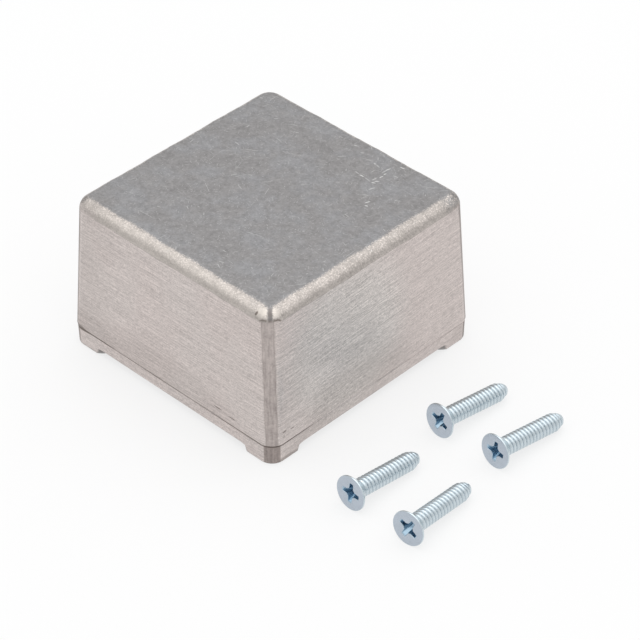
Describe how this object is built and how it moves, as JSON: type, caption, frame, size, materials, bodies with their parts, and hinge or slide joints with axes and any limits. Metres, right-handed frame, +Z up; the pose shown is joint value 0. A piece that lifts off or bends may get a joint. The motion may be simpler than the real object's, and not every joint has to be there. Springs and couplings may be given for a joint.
{
  "type": "electronics enclosure",
  "caption": "Square die-cast aluminium electronics enclosure: a drafted shell with rounded edges on a lid with corner foot pads, its countersunk lid screws lying loose beside it.",
  "frame": {"origin": "on the plane of the foot pads' lower faces, under the middle of the case", "axes": "+Z up from the lid to the shell's closed end, +X from the case towards the loose screws, +Y along the screws from head to tip"},
  "size_m": [0.0823, 0.0506, 0.031],
  "materials": {
    "cast_shell": "unpainted die casting, tumbled on top and linished on its sides",
    "cast_lid": "unpainted die casting with linished sides",
    "zinc_screws": "bright bluish zinc plate"
  },
  "bodies": {
    "base": {"lid": "cast_lid", "lid_screws": "zinc_screws"},
    "cover": {"shell": "cast_shell"}
  },
  "joints": [
    {"name": "shell_lift", "type": "slide", "parent": "base", "child": "cover", "axis": [0, 0, 1], "range_m": [0, 0.04]}
  ]
}
